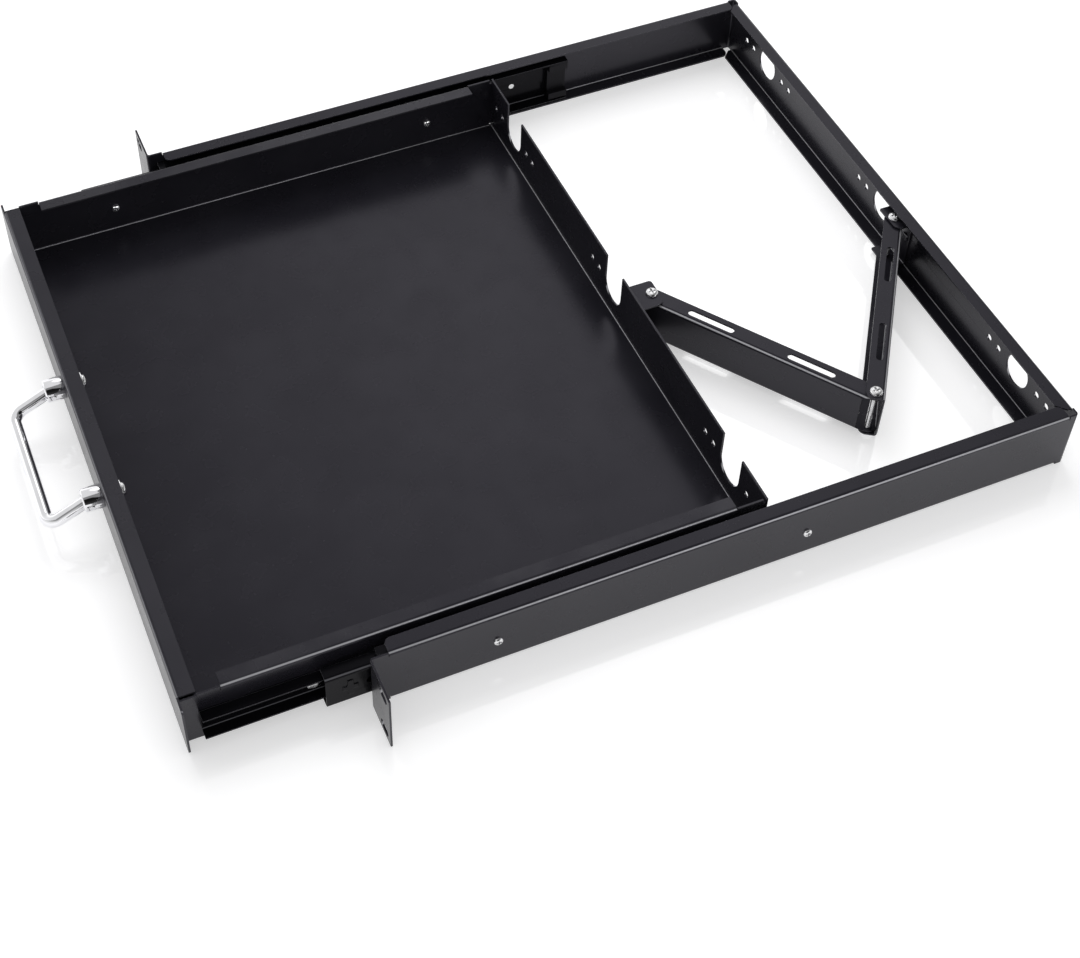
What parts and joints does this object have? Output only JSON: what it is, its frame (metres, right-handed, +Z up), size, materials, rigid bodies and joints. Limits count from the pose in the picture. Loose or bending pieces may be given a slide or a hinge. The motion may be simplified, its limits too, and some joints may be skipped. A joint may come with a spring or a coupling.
{
  "type": "sliding rack keyboard tray",
  "caption": "Shallow black rack drawer for a keyboard on ball bearing slides, with a folding chrome pull and a folding cable arm between the drawer and the rear wall.",
  "frame": {"origin": "middle of the four ear slots, on the back face of the ears where they meet the rack rails", "axes": "+X to the right as seen from the front, +Y from the front to the rear of the rack, +Z up"},
  "size_m": [0.4826, 0.5825, 0.0436],
  "materials": {
    "black_coat": "satin black powder coat on sheet steel",
    "slide_coat": "smooth black electro-coat on cold rolled steel",
    "chrome": "polished plating",
    "bright_zinc": "bright zinc plating",
    "ball_steel": "zinc plated cage strip with polished balls",
    "black_plastic": "moulded"
  },
  "bodies": {
    "frame": {"chassis_frame": "black_coat", "frame_slide_screws": "bright_zinc", "rear_arm_bracket": "black_coat", "rear_bracket_rivets": "black_coat", "rear_pivot_screw": "bright_zinc", "rear_pivot_nut": "bright_zinc", "left_slide_outer": "slide_coat", "right_slide_outer": "slide_coat", "left_slide_stop": "black_plastic", "right_slide_stop": "black_plastic"},
    "drawer": {"drawer_tray": "black_coat", "front_panel": "black_coat", "drawer_slide_screws": "bright_zinc", "drawer_slide_nuts": "bright_zinc", "handle_pins": "chrome", "handle_washers": "bright_zinc", "handle_screws": "bright_zinc", "front_arm_bracket": "black_coat", "front_bracket_rivets": "black_coat", "front_pivot_screws": "bright_zinc", "left_slide_inner": "slide_coat", "right_slide_inner": "slide_coat", "left_handle_post": "chrome", "right_handle_post": "chrome"},
    "left_middle": {"left_slide_middle": "slide_coat"},
    "left_outer_balls": {"left_outer_ball_cage": "ball_steel"},
    "left_inner_balls": {"left_inner_ball_cage": "ball_steel"},
    "right_middle": {"right_slide_middle": "slide_coat"},
    "right_outer_balls": {"right_outer_ball_cage": "ball_steel"},
    "right_inner_balls": {"right_inner_ball_cage": "ball_steel"},
    "handle": {"handle_bail": "chrome"},
    "rear_link": {"rear_arm": "black_coat", "elbow_screw": "bright_zinc", "elbow_nut": "bright_zinc"},
    "front_link": {"front_arm": "black_coat"}
  },
  "joints": [
    {"name": "drawer_slide", "type": "slide", "parent": "frame", "child": "drawer", "axis": [0, -1, 0], "range_m": [-0.1012, 0.0988]},
    {"name": "left_middle_slide", "type": "slide", "parent": "frame", "child": "left_middle", "axis": [0, -1, 0], "range_m": [-0.0507, 0.0495]},
    {"name": "left_outer_balls_slide", "type": "slide", "parent": "frame", "child": "left_outer_balls", "axis": [0, -1, 0], "range_m": [-0.0254, 0.0248]},
    {"name": "left_inner_balls_slide", "type": "slide", "parent": "frame", "child": "left_inner_balls", "axis": [0, -1, 0], "range_m": [-0.076, 0.0742]},
    {"name": "right_middle_slide", "type": "slide", "parent": "frame", "child": "right_middle", "axis": [0, -1, 0], "range_m": [-0.0507, 0.0495]},
    {"name": "right_outer_balls_slide", "type": "slide", "parent": "frame", "child": "right_outer_balls", "axis": [0, -1, 0], "range_m": [-0.0254, 0.0248]},
    {"name": "right_inner_balls_slide", "type": "slide", "parent": "frame", "child": "right_inner_balls", "axis": [0, -1, 0], "range_m": [-0.076, 0.0742]},
    {"name": "rear_arm_swing", "type": "hinge", "parent": "frame", "child": "rear_link", "pos_m": [0.025, 0.4328, -0.001], "axis": [0, 0, 1], "range_deg": [-23.6, 24.2]},
    {"name": "elbow_swing", "type": "hinge", "parent": "rear_link", "child": "front_link", "pos_m": [0.14929, 0.3453, -0.001], "axis": [0, 0, 1], "range_deg": [-48.3, 47.2]},
    {"name": "handle_fold", "type": "hinge", "parent": "drawer", "child": "handle", "pos_m": [0, -0.11, 0.0112], "axis": [1, 0, 0], "range_deg": [-26, 64]}
  ],
  "couplings": [
    {"joint": "left_middle_slide", "follows": "drawer_slide", "ratio": 0.5},
    {"joint": "left_outer_balls_slide", "follows": "drawer_slide", "ratio": 0.25},
    {"joint": "left_inner_balls_slide", "follows": "drawer_slide", "ratio": 0.75},
    {"joint": "right_middle_slide", "follows": "drawer_slide", "ratio": 0.5},
    {"joint": "right_outer_balls_slide", "follows": "drawer_slide", "ratio": 0.25},
    {"joint": "right_inner_balls_slide", "follows": "drawer_slide", "ratio": 0.75},
    {"joint": "rear_arm_swing", "follows": "drawer_slide", "rad_per_m": -4.154},
    {"joint": "elbow_swing", "follows": "drawer_slide", "rad_per_m": 8.308}
  ]
}
